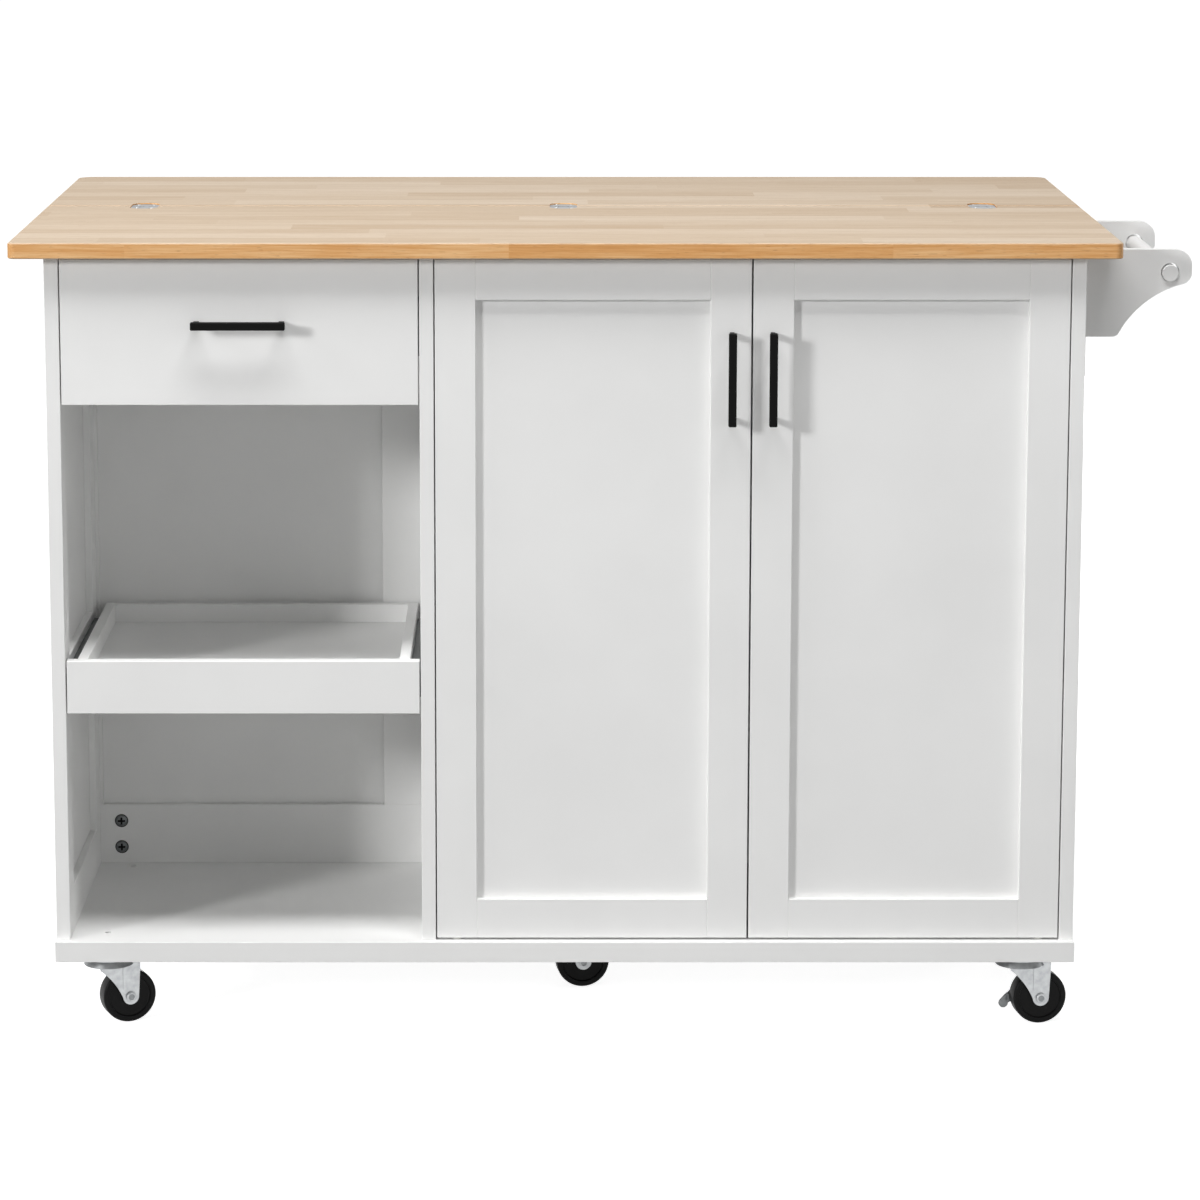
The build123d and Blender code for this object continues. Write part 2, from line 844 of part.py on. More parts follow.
def hinge_leaf(height):
    """The moving half of a left hinge: a leaf on the support and the middle knuckle."""
    axis_x, axis_y = support_axis()
    knuckle_share = 1 / 3
    low = height - hinge_height / 2
    face = axis_x + hinge_knuckle_radius
    near = face - hinge_leaf_thickness
    clear = axis_y + hinge_knuckle_radius + resting_gap
    leaf = block(near, face, clear, axis_y + hinge_leaf_width, low, low + hinge_height)
    neck_low = low + hinge_height * knuckle_share
    neck_high = low + hinge_height * (1 - knuckle_share)
    leaf += block(near, face, axis_y, clear, neck_low, neck_high)
    leaf += hinge_barrel(height, knuckle_share, 1 - knuckle_share)
    return leaf - rod_along("Z", (axis_x, axis_y, height), hinge_pin_radius + running_play, hinge_height)


# Towel rack


def towel_arm(setback):
    """One arm of the towel rack, with the hole for the rod near its nose."""
    outline = shaped_arm(
        arm_projection,
        arm_height,
        arm_nose_height,
        arm_foot_width,
        arm_sagitta,
        arm_nose_radius,
        arm_chin_radius,
        arm_foot_radius,
    )
    outline -= Pos(arm_projection - rod_tip_inset, -rod_drop) * Circle(rod_hole_radius)
    plate = extrude(Plane.XZ * outline, -arm_thickness)
    return Pos(cabinet_right, cabinet_front + setback, worktop_under - arm_top_gap) * plate


def towel_rod():
    """The round rod that lies in the holes of both arms."""
    front = cabinet_front + arm_front_setback - rod_stand_out
    rear = cabinet_front + arm_front_setback + arm_spacing + arm_thickness
    across = cabinet_right + arm_projection - rod_tip_inset
    sag = rod_hole_radius - rod_radius - running_play
    height = worktop_under - arm_top_gap - rod_drop - sag
    rod = rod_along("Y", (across, (front + rear) / 2, height), rod_radius, rear - front)
    return chamfer(rod.edges().filter_by(GeomType.CIRCLE), board_ease)


# Casters: each is made with its stem on the Z axis and its wheel trailing towards +X


def caster_stem():
    """The stem, the cap under the base and the headed kingpin that the fork turns on, as one turned piece."""
    cap_low = caster_height - stem_cap_height
    head_top = crown_bottom - resting_gap
    head_low = head_top - kingpin_head_height
    points = [
        (0, head_low),
        (kingpin_head_radius, head_low),
        (kingpin_head_radius, head_top),
        (kingpin_radius, head_top),
        (kingpin_radius, cap_low),
        (stem_cap_radius, cap_low),
        (stem_cap_radius, caster_height),
        (stem_radius, caster_height),
        (stem_radius, caster_height + stem_length),
        (0, caster_height + stem_length),
    ]
    section = make_face(Polyline(*points, close=True))
    return revolve(Plane.XZ * section, Axis.Z)


def fork_dish():
    """The stamped swivel dish: a flat crown that turns down into a flared skirt."""
    low = crown_top - fork_dish_height
    points = [
        (kingpin_radius + running_play, crown_top),
        (fork_crown_radius, crown_top),
        (fork_dish_radius, low),
        (fork_dish_radius - fork_sheet, low),
        (fork_crown_radius - fork_sheet, crown_bottom),
        (kingpin_radius + running_play, crown_bottom),
    ]
    section = make_face(Polyline(*points, close=True))
    return revolve(Plane.XZ * section, Axis.Z)


def fork_arm_outline():
    """A fork arm seen from its side: a hollow front edge that runs into the boss round the axle."""
    start = (-fork_front_reach, crown_bottom - fork_front_drop)
    boss = (caster_trail, wheel_radius)
    run = math.dist(start, boss)
    slope = math.atan2(boss[1] - start[1], boss[0] - start[0])
    turn = math.asin(fork_boss_radius / run)
    tangent = math.sqrt(run**2 - fork_boss_radius**2)
    touch = (start[0] + tangent * math.cos(slope - turn), start[1] + tangent * math.sin(slope - turn))
    front_top = (-fork_front_reach, crown_bottom)
    rear_top = (caster_trail + fork_rear_reach, crown_bottom)
    rear_low = (caster_trail + fork_boss_radius, wheel_radius)
    edges = [Line(front_top, start), SagittaArc(start, touch, fork_edge_sagitta), Line(touch, boss)]
    edges += [Line(boss, rear_low), Line(rear_low, rear_top), Line(rear_top, front_top)]
    return make_face(edges) + Pos(*boss) * Circle(fork_boss_radius)


def caster_fork():
    """The stamped fork: dish, crown plate, two arms with a pressed rib, and the riveted axle."""
    outline = Plane.XZ * fork_arm_outline()
    rear = caster_trail + fork_rear_reach
    fork = fork_dish()
    crown_start = kingpin_head_radius + resting_gap
    fork += block(crown_start, rear, -fork_outer, fork_outer, crown_bottom - fork_sheet, crown_bottom)
    for near in (-fork_outer, fork_inner):
        arm = extrude(outline, -fork_sheet)
        fork += Pos(0, near, 0) * arm
    rib_low = wheel_radius + fork_boss_radius
    rib_left = caster_trail - fork_boss_radius
    rib_right = rib_left + fork_rib_width
    for near in (-fork_outer - fork_rib_proud, fork_outer - fork_rib_proud):
        fork += block(rib_left, rib_right, near, near + 2 * fork_rib_proud, rib_low, crown_bottom)
    return fork + caster_axle()


def caster_axle():
    """The axle bolt with a low round head in front and a hexagon nut behind."""
    axle = rod_along("Y", (0, 0, 0), axle_radius, 2 * fork_inner)
    head = rod_along("Y", (0, -fork_outer - axle_head_height / 2, 0), axle_head_radius, axle_head_height)
    nut = Plane.XZ * RegularPolygon(axle_nut_width / 2, 6, major_radius=False)
    nut = Pos(0, fork_outer, 0) * extrude(nut, -axle_nut_height)
    return Pos(caster_trail, 0, wheel_radius) * (axle + head + nut)


def caster_wheel():
    """A solid wheel with eased shoulders."""
    half = wheel_width / 2
    side = [
        (axle_radius + running_play, half),
        (wheel_radius - wheel_shoulder, half),
        (wheel_radius, half - wheel_shoulder),
    ]
    points = side + [(radius, -height) for radius, height in reversed(side)]
    section = make_face(Polyline(*points, close=True))
    return Pos(caster_trail, 0, wheel_radius) * revolve(section, Axis.Y)


def brake_lever():
    """A stamped foot lever beside the far fork arm, with a shoe against the tread."""
    pivot = (brake_pivot_setback, caster_height - brake_pivot_drop)
    tab = (-brake_tab_front + brake_tab_width / 2, brake_tab_rise)
    arm_length = math.dist(pivot, tab)
    lean = math.degrees(math.atan2(pivot[0] - tab[0], pivot[1] - tab[1]))
    middle = ((pivot[0] + tab[0]) / 2, (pivot[1] + tab[1]) / 2)
    outline = Pos(*middle) * Rot(0, 0, -lean) * Rectangle(brake_arm_width, arm_length)
    outline += Pos(*pivot) * Circle(brake_eye_radius)
    outline += Pos(*tab) * Rot(0, 0, -lean) * SlotOverall(brake_tab_length, brake_tab_width, rotation=90)
    outline -= Pos(tab[0] + brake_tab_width / 2, tab[1] - brake_tab_length / 4) * Circle(brake_notch_radius)
    outline -= Pos(*pivot) * Circle(brake_pivot_radius + running_play)
    lever = Pos(0, brake_near, 0) * extrude(Plane.XZ * outline, -brake_sheet)
    tread_left = caster_trail - wheel_radius
    shoe_right = tread_left - resting_gap
    shoe_left = shoe_right - brake_shoe_thickness
    low = wheel_radius - brake_shoe_drop - brake_shoe_height / 2
    high = low + brake_shoe_height
    return lever + block(shoe_left, shoe_right, brake_near - brake_shoe_reach, brake_far, low, high)


def brake_rivet():
    """The headed rivet on the fork's far arm that the brake lever turns on."""
    head_near = brake_far + running_play
    shank_length = head_near - fork_outer
    shank_middle = fork_outer + shank_length / 2
    head_middle = head_near + brake_rivet_head_height / 2
    shank = rod_along("Y", (0, shank_middle, 0), brake_pivot_radius, shank_length)
    head = rod_along("Y", (0, head_middle, 0), brake_rivet_head_radius, brake_rivet_head_height)
    return Pos(brake_pivot_setback, 0, caster_height - brake_pivot_drop) * (shank + head)


def caster(name, braked):
    """One caster at its place: its stem, its fork with the axle, its wheel and its brake lever."""
    place = Pos(*caster_places()[name], 0) * Rot(0, 0, caster_turns[name])
    fork = caster_fork()
    if braked:
        fork += brake_rivet()
    lever = moved(place, [brake_lever()]) if braked else []
    return place * caster_stem(), [place * fork], [place * caster_wheel()], lever


# Assembly


def island():
    """Every node of the island by name, each as a list of its solids."""
    nodes = {}
    front_cups, rear_cups, links = flap_hinge_parts()
    nodes["fixed_top"] = [fixed_top()]
    nodes["leaf_top"] = [leaf_top()]
    nodes["flap_hinge_cups_front"] = front_cups
    nodes["flap_hinge_cups_rear"] = rear_cups
    nodes["flap_hinge_links"] = links

    left_frame, left_infill, right_frame, right_infill = cabinet_sides()
    nodes["bottom_board"] = [bottom_board()]
    nodes["left_side_frame"] = left_frame
    nodes["left_side_panels"] = left_infill
    nodes["right_side_frame"] = right_frame
    nodes["right_side_panels"] = right_infill
    nodes["divider_panel"] = [divider_panel()]
    nodes["back_frame"], nodes["back_panels"] = back_panel()
    nodes["front_top_rails"] = top_rails()
    nodes["cupboard_shelf"] = [cupboard_shelf()]
    nodes["shelf_pins"] = shelf_pins()

    left_door, right_door = doors()
    for side, door in (("left", left_door), ("right", right_door)):
        nodes[f"{side}_door_frame"] = door[0]
        nodes[f"{side}_door_panel"] = door[1]
        nodes[f"{side}_door_handle"] = door[2]
        nodes[f"{side}_door_pivot_pins"] = door[3]
    nodes["door_pivot_bushes"] = pivot_bushes()

    channels = []
    boxes = (("drawer", drawer_parts(), drawer_runner_height), ("tray", tray_parts(), tray_runner_height))
    for name, (front, sides, back, floor), height in boxes:
        nodes[f"{name}_front"] = [front]
        nodes[f"{name}_sides"] = sides
        nodes[f"{name}_back"] = [back]
        nodes[f"{name}_floor"] = [floor]
        nodes[f"{name}_runners"] = both_sides_of_bay(runner_rail(height))
        channels += both_sides_of_bay(runner_channel(height))
    nodes["drawer_handle"] = [drawer_handle()]
    nodes["runner_channels"] = channels

    plates = [hinge_plate(height) for height in hinge_heights()]
    leaves = [hinge_leaf(height) for height in hinge_heights()]
    nodes["support_posts"] = support_posts()
    nodes["rail_bolts"] = rail_bolts()
    nodes["support_hinge_plates"] = plates + mirrored(plates)
    nodes["left_leaf_support"] = [support_bracket()]
    nodes["left_support_hinge_leaves"] = leaves
    nodes["right_leaf_support"] = mirrored([support_bracket()])
    nodes["right_support_hinge_leaves"] = mirrored(leaves)

    nodes["towel_arm_front"] = [towel_arm(arm_front_setback)]
    nodes["towel_arm_rear"] = [towel_arm(arm_front_setback + arm_spacing)]
    nodes["towel_rod"] = [towel_rod()]

    stems = []
    for name in caster_turns:
        braked = name in ("front_right", "rear_left")
        stem, fork, wheel, lever = caster(name, braked)
        stems.append(stem)
        nodes[f"caster_fork_{name}"] = fork
        nodes[f"caster_wheel_{name}"] = wheel
        if braked:
            nodes[f"brake_lever_{name}"] = lever
    nodes["caster_stems"] = stems
    return nodes


os.makedirs("parts", exist_ok=True)
for node_name, solids in island().items():
    whole = solids[0] if len(solids) == 1 else Compound(children=solids)
    whole.label = node_name
    export_step(whole, f"parts/{node_name}.step")
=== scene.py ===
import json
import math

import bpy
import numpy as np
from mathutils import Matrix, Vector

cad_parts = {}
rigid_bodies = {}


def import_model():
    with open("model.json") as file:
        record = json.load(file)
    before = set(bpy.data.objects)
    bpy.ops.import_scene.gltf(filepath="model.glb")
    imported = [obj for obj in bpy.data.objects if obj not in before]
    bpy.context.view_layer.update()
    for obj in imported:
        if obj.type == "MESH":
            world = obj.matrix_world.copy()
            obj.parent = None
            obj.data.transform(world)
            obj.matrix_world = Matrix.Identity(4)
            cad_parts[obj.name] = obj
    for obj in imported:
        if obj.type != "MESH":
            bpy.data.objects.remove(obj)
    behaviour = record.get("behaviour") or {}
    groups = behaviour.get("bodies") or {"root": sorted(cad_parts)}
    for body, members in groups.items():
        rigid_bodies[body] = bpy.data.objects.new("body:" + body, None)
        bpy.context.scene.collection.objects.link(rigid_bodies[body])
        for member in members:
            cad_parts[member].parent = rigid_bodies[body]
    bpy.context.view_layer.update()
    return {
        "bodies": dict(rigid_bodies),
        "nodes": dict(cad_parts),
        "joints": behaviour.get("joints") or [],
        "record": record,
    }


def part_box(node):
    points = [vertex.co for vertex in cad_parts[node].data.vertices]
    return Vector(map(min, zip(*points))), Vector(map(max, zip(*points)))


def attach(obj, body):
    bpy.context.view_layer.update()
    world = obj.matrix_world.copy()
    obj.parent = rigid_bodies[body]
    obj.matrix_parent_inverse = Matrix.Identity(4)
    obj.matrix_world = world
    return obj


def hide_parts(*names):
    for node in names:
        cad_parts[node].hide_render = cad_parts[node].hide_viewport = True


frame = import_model()

# %% [markdown]
# The object is a rolling kitchen island: a white painted cabinet on five casters, with a
# wooden worktop whose rear leaf folds up and over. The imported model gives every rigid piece
# its shape and its place in metres. This lesson gives those pieces the surfaces of the real
# materials, adds the small turned and pressed parts that a catalogue photograph shows up
# close, and lights the whole like a product shot.

MM = 0.001

# %% [markdown]
# Colours are given as the hex numbers that a paint tool shows, which are sRGB.
# Blender's shaders count light in linear numbers, so one function turns the first into the
# second and nothing else in the file has to think about it.

# %% Colour from a hex number


def hex_colour(text):
    """Linear RGBA of an sRGB hex colour: each channel below 0.04045 is divided by 12.92, and
    above it is ((c + 0.055) / 1.055) to the power 2.4."""
    channels = np.array([int(text[i : i + 2], 16) for i in (1, 3, 5)]) / 255
    linear = np.where(channels <= 0.04045, channels / 12.92, ((channels + 0.055) / 1.055) ** 2.4)
    return (*linear.tolist(), 1.0)


print("#808080 is", round(hex_colour("#808080")[0], 3), "in linear light")

# %% [markdown]
# A material is a small graph of nodes. One function adds a node, sets its options, fills its
# inputs and links what should be linked, so each recipe below reads as a list of steps.

# %% One way to add a node


def add_node(tree, kind, stops=(), **details):
    """Adds a shader node. A detail in small letters is one of the node's options. One with a
    capital is the input of that name, with underscores for spaces, and in0, in1 and so on are
    inputs by their number. An input takes a value, an output, or a node, whose first output
    it then is. stops are the (position, hex colour) pairs of a colour ramp."""
    node = tree.nodes.new("ShaderNode" + kind)
    for name, value in details.items():
        number = name.removeprefix("in")
        if name.islower() and not number.isdigit():
            setattr(node, name, value)
            continue
        socket = node.inputs[int(number) if number.isdigit() else name.replace("_", " ")]
        if isinstance(value, bpy.types.Node):
            value = value.outputs[0]
        if isinstance(value, bpy.types.NodeSocket):
            tree.links.new(value, socket)
        else:
            socket.default_value = value
    if stops:
        elements = node.color_ramp.elements
        while len(elements) < len(stops):
            elements.new(0.5)
        for element, (position, colour) in zip(elements, stops):
            element.position = position
            element.color = hex_colour(colour)
    return node


def new_material(name):
    """A material with an empty tree, the tree, and the point in the object's own metres."""
    material = bpy.data.materials.new(name)
    material.use_nodes = True
    tree = material.node_tree
    tree.nodes.clear()
    return material, tree, add_node(tree, "TexCoord").outputs["Object"]


def surface(tree, **inputs):
    """Ends a tree with a Principled shader that has these inputs."""
    add_node(tree, "OutputMaterial", Surface=add_node(tree, "BsdfPrincipled", **inputs))


def noise_scale(size_mm):
    """The Scale of a noise whose features are about size_mm across, on points in metres."""
    return 1 / (size_mm * MM)


finishes = {}
print("a noise 2 mm across has the scale", noise_scale(2.0))

# %% [markdown]
# The worktop is rubberwood: short staves glued edge to edge, with finger joints where their
# ends meet. Each stave came from a different board, so each has its own tint and its own
# pattern of grain. The recipe numbers the staves from the position and takes a random tint
# from that number.

# %% Staves of the worktop
STAVE_WIDTH_MM = 46.0
STAVE_LENGTH_MM = 430.0
ROW_SHIFT_STAVES = 7.0


def stave_tint(tree, point):
    """row = floor(y / width); along = x / length + a random shift for the row; piece =
    floor(along). A white noise of (row, piece) is the stave's own random number and colour."""
    x, y = add_node(tree, "SeparateXYZ", Vector=point).outputs[:2]
    rows = add_node(tree, "Math", operation="DIVIDE", in0=y, in1=STAVE_WIDTH_MM * MM)
    row = add_node(tree, "Math", operation="FLOOR", in0=rows)
    chance = add_node(tree, "TexWhiteNoise", noise_dimensions="1D", W=row).outputs["Value"]
    shift = add_node(tree, "Math", operation="MULTIPLY", in0=chance, in1=ROW_SHIFT_STAVES)
    lengths = add_node(tree, "Math", operation="DIVIDE", in0=x, in1=STAVE_LENGTH_MM * MM)
    along = add_node(tree, "Math", operation="ADD", in0=lengths, in1=shift)
    piece = add_node(tree, "Math", operation="FLOOR", in0=along)
    number = add_node(tree, "CombineXYZ", X=row, Y=piece)
    return add_node(tree, "TexWhiteNoise", noise_dimensions="2D", Vector=number)


print("staves of", STAVE_WIDTH_MM, "by", STAVE_LENGTH_MM, "mm")

# %% [markdown]
# Grain is noise stretched along the stave: a broad one for the bands of growth and a fine one
# for the fibres. Open pores are a third noise, of which only the peaks show. The upper face is
# sanded and has a matt lacquer, so it hardly shines. Faces that look up are painted paler and
# greyer than the wood, a painted sheen of the light from above. The edges, the rounds and the
# cuts for the hinges keep the wood's warmer colour.

# %% Rubberwood
GRAIN_SHIFT_M = 3.0
FINE_SHARE = 0.6
TINT_SPAN = 0.28
PORE_SHADE = 0.3
PORE_DEPTH = 0.5
# the face stops are the wood's colour paled by a painted sheen of the light from above
PALE_SHEEN_FACE_STOPS = ((0.28, "#B59D82"), (0.5, "#C2AE96"), (0.72, "#D0BFAB"))
EDGE_STOPS = ((0.28, "#C08348"), (0.5, "#D89F62"), (0.72, "#EBC08C"))
PORE_COLOUR = "#9A6E42"
BUMP_MM = 0.05


def long_grain(tree, point, size_mm, squeeze, detail, rough):
    """Noise at (squeeze * x, y, z), so its features are size_mm across and size_mm / squeeze
    along X."""
    drawn = add_node(tree, "Mapping", Vector=point, Scale=(squeeze, 1.0, 1.0))
    scale = noise_scale(size_mm)
    return add_node(tree, "TexNoise", Vector=drawn, Scale=scale, Detail=detail, Roughness=rough)


def rubberwood():
    """level = the two grains mixed + the stave's tint, which two ramps turn into the colours of
    face, paled by a painted sheen, and edge; pores darken the colour and dent the height."""
    material, tree, point = new_material("rubberwood_lacquered")
    tint = stave_tint(tree, point)

    # the grain starts elsewhere in each stave
    random = tint.outputs["Color"]
    start = add_node(tree, "VectorMath", operation="SCALE", in0=random, Scale=GRAIN_SHIFT_M)
    moved = add_node(tree, "VectorMath", operation="ADD", in0=point, in1=start)
    broad = long_grain(tree, moved, size_mm=9.0, squeeze=0.05, detail=4.0, rough=0.6)
    fine = long_grain(tree, moved, size_mm=1.6, squeeze=0.025, detail=3.0, rough=0.7)

    # pores are short dark strokes, drawn about twice as coarse as real ones to show at all
    pores = long_grain(tree, moved, size_mm=0.9, squeeze=0.09, detail=1.0, rough=0.4)
    pore = add_node(tree, "MapRange", Value=pores, From_Min=0.66, From_Max=0.74)

    # the level of the grain is the two noises mixed, and the stave's tint shifts it
    part = add_node(tree, "Math", operation="MULTIPLY", in0=fine, in1=FINE_SHARE)
    mixed = add_node(
        tree, "Math", operation="MULTIPLY_ADD", in0=broad, in1=1 - FINE_SHARE, in2=part
    )
    chance = tint.outputs["Value"]
    lighter = add_node(
        tree, "Math", operation="MULTIPLY_ADD", in0=chance, in1=TINT_SPAN, in2=-TINT_SPAN / 2
    )
    level = add_node(tree, "Math", operation="ADD", in0=mixed, in1=lighter)
    face = add_node(tree, "ValToRGB", PALE_SHEEN_FACE_STOPS, Fac=level)
    edge = add_node(tree, "ValToRGB", EDGE_STOPS, Fac=level)

    # level faces get the pale colour of a painted sheen and upright ones the warm one, with a
    # short turn between them on the rounds
    normal = add_node(tree, "TexCoord").outputs["Normal"]
    up = add_node(tree, "SeparateXYZ", Vector=normal).outputs["Z"]
    either_way = add_node(tree, "Math", operation="ABSOLUTE", in0=up)
    flat = add_node(tree, "MapRange", Value=either_way, From_Min=0.35, From_Max=0.85)
    bare = add_node(tree, "Mix", data_type="RGBA", in0=flat, in6=edge, in7=face).outputs[2]
    shade = add_node(tree, "Math", operation="MULTIPLY", in0=pore, in1=PORE_SHADE)
    colour = add_node(
        tree, "Mix", data_type="RGBA", blend_type="MULTIPLY",
        in0=shade, in6=bare, in7=hex_colour(PORE_COLOUR),
    ).outputs[2]

    dent = add_node(tree, "Math", operation="MULTIPLY", in0=pore, in1=PORE_DEPTH)
    height = add_node(tree, "Math", operation="SUBTRACT", in0=fine, in1=dent)
    bump = add_node(tree, "Bump", Height=height, Distance=BUMP_MM * MM, Strength=0.6)
    surface(
        tree, Base_Color=colour, Normal=bump, Roughness=0.6, IOR=1.5, Specular_IOR_Level=0.28
    )
    return material


finishes["worktop_wood"] = rubberwood()
print("rubberwood has", len(finishes["worktop_wood"].node_tree.nodes), "nodes")

# %% [markdown]
# The cabinet is board sprayed with a white satin paint. Sprayed paint dries with a very
# slight orange peel, and over board it keeps a trace of the fibres under it. Both are far
# weaker than they look in a close-up, so they are only a soft bump and a tint of less than
# two in a hundred. The doors' bushes are moulded nylon, which has the same soft even sheen
# and is a little greyer, so the same recipe makes it.

# %% White satin paint and moulded nylon
DRIFT_MM = 140.0
PEEL_MM = 2.2
PEEL_GLOSS = 0.06
PEEL_HEIGHT_MM = 0.03


def satin_skin(name, light, dark, roughness):
    """A skin whose tint drifts between two near whites over a hand's width, and whose gloss
    and height follow its peel."""
    material, tree, point = new_material(name)
    drift = add_node(tree, "TexNoise", Vector=point, Scale=noise_scale(DRIFT_MM), Detail=2.0)
    colour = add_node(tree, "ValToRGB", ((0.3, dark), (0.7, light)), Fac=drift)
    peel = add_node(tree, "TexNoise", Vector=point, Scale=noise_scale(PEEL_MM), Detail=2.0)
    least = roughness - PEEL_GLOSS / 2
    gloss = add_node(
        tree, "Math", operation="MULTIPLY_ADD", in0=peel, in1=PEEL_GLOSS, in2=least
    )
    bump = add_node(tree, "Bump", Height=peel, Distance=PEEL_HEIGHT_MM * MM, Strength=0.35)
    surface(tree, Base_Color=colour, Roughness=gloss, Normal=bump, IOR=1.5)
    return material


finishes["white_paint"] = satin_skin("white_satin_paint", "#F3F3F2", "#EFEFEE", 0.46)
finishes["pale_plastic"] = satin_skin("moulded_nylon", "#DCDCD6", "#D6D6D0", 0.5)
print("orange peel", PEEL_MM, "mm across")

# %% [markdown]
# Handles are die-cast bars with a black powder coat, which bakes into a fine matt texture.
# The wheels are moulded black plastic with a smoother, slightly glossy skin.

# %% Black coats and mouldings
GRAIN_GLOSS = 0.2


def grained_black(name, colour, roughness, grain_mm, depth_mm, specular):
    """A dark surface with a fine even grain in its gloss and its height."""
    material, tree, point = new_material(name)
    grain = add_node(tree, "TexNoise", Vector=point, Scale=noise_scale(grain_mm), Detail=2.0)
    least = roughness - GRAIN_GLOSS / 2
    gloss = add_node(
        tree, "Math", operation="MULTIPLY_ADD", in0=grain, in1=GRAIN_GLOSS, in2=least
    )
    bump = add_node(tree, "Bump", Height=grain, Distance=depth_mm * MM, Strength=0.5)
    surface(
        tree, Base_Color=hex_colour(colour), Roughness=gloss, Normal=bump,
        IOR=1.5, Specular_IOR_Level=specular,
    )
    return material


finishes["black_metal"] = grained_black(
    "black_powder_coat", "#060606", roughness=0.55, grain_mm=0.5, depth_mm=0.02, specular=0.08
)
finishes["wheel_rubber"] = grained_black(
    "moulded_black_wheel", "#050505", roughness=0.4, grain_mm=1.1, depth_mm=0.01, specular=0.1
)
print("black finishes:", finishes["black_metal"].name, finishes["wheel_rubber"].name)

# %% [markdown]
# Casters, hinges and pins are steel with a thin bright zinc coat. Zinc grows in faint cloudy
# patches, so the gloss changes slowly over a few millimetres while the colour hardly does.
# The runners, the brake levers and the bolts have a duller, greyer coat of the same kind.

# %% Zinc-plated steel
CLOUD_MM = 7.0
CLOUD_GLOSS = 0.16
CRYSTAL_MM = 0.8
CRYSTAL_HEIGHT_MM = 0.02


def zinc_plate(name, light, dark, roughness):
    """Metal with cloudy patches of gloss and tint, and a fine grain in its height."""
    material, tree, point = new_material(name)
    cloud = add_node(tree, "TexNoise", Vector=point, Scale=noise_scale(CLOUD_MM), Detail=3.0)
    fine = add_node(tree, "TexNoise", Vector=point, Scale=noise_scale(CRYSTAL_MM), Detail=2.0)
    colour = add_node(tree, "ValToRGB", ((0.3, dark), (0.7, light)), Fac=cloud)
    least = roughness - CLOUD_GLOSS / 2
    gloss = add_node(
        tree, "Math", operation="MULTIPLY_ADD", in0=cloud, in1=CLOUD_GLOSS, in2=least
    )
    bump = add_node(tree, "Bump", Height=fine, Distance=CRYSTAL_HEIGHT_MM * MM, Strength=0.25)
    surface(tree, Base_Color=colour, Roughness=gloss, Normal=bump, Metallic=1.0)
    return material


finishes["bright_steel"] = zinc_plate("bright_zinc_plate", "#A9ABAC", "#949698", 0.36)
finishes["grey_steel"] = zinc_plate("grey_zinc_plate", "#7E8081", "#6C6F70", 0.45)
print("zinc clouds", CLOUD_MM, "mm across")

# %% [markdown]
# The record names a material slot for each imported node. A node keeps its mesh and takes the
# finish of its slot.

# %% Every node's finish by its slot
slot_of = {part["node"]: part["material_slot"] for part in frame["record"]["subparts"]}
for node_name, node in frame["nodes"].items():
    node.data.materials.clear()
    node.data.materials.append(finishes[slot_of[node_name]])
print(len(frame["nodes"]), "nodes have a finish")

# %% [markdown]
# The pieces from here on are small and round: wheels, axle ends and screws. Each is a surface
# with two parameters, the distance along a profile and the angle round an axis. Their points
# come as one numpy array, and one function turns any such array into a mesh whose faces are
# the squares of the grid.

# %% From a grid of points to a mesh
SMOOTH_BELOW_DEG = 35.0


def grid_faces(rows, columns, closed=True):
    """The squares of a grid whose columns wrap round: (i+1, j), (i+1, j+1), (i, j+1), (i, j).
    In a closed grid the last row joins the first."""
    first = np.arange(rows if closed else rows - 1)
    i, j = np.meshgrid(first, np.arange(columns), indexing="ij")
    here, below, after = i * columns, (i + 1) % rows * columns, (j + 1) % columns
    return np.stack([below + j, below + after, here + after, here + j], -1).reshape(-1, 4)


def mesh_piece(name, points, faces, body, slot, smooth_deg=SMOOTH_BELOW_DEG):
    """A mesh object in its slot's finish that rides on a body, shaded smooth except over
    edges that turn by more than smooth_deg."""
    mesh = bpy.data.meshes.new(name)
    mesh.from_pydata(points.tolist(), [], faces)
    mesh.materials.append(finishes[slot])
    mesh.shade_smooth()
    mesh.set_sharp_from_angle(angle=math.radians(smooth_deg))
    piece = bpy.data.objects.new(name, mesh)
    bpy.context.scene.collection.objects.link(piece)
    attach(piece, body)
    return piece


print("a closed grid of 3 rows and 4 columns has", len(grid_faces(3, 4)), "squares")

# %% [markdown]
# A turned part is a profile swept round an axis, as on a lathe. Two directions square to the
# axis carry the ring, and the profile gives its radius and its height at each step.

# %% Turned parts
NEARLY_UPRIGHT = 0.9


def axes_for(axis):
    """Two unit vectors square to an axis, so that across, up and axis turn right-handed."""
    axis = np.array(axis, float) / np.linalg.norm(axis)
    helper = (0.0, 0.0, 1.0) if abs(axis[2]) < NEARLY_UPRIGHT else (1.0, 0.0, 0.0)
    across = np.cross(helper, axis)
    across /= np.linalg.norm(across)
    return across, np.cross(axis, across), axis


def turned(profile, centre, axis, columns):
    """point(s, t) = centre + axis * h(s) + r(s) * (across * cos t + up * sin t), for a profile
    of (r, h) rows in metres that runs so that its faces look outwards."""
    across, up, along = axes_for(axis)
    angle = np.linspace(0.0, 2 * np.pi, columns, endpoint=False)
    ring = np.cos(angle)[:, None] * across + np.sin(angle)[:, None] * up
    radius, height = np.array(profile, float).T
    return np.array(centre) + height[:, None, None] * along + radius[:, None, None] * ring[None]


def turned_piece(name, profile, centre, axis, columns, body, slot):
    """The closed ring that a profile sweeps round an axis: its last row joins its first."""
    points = turned(profile, centre, axis, columns).reshape(-1, 3)
    return mesh_piece(name, points, grid_faces(len(profile), columns).tolist(), body, slot)


print("axes for an upright axis:", *[vector.tolist() for vector in axes_for((0, 0, 1))])

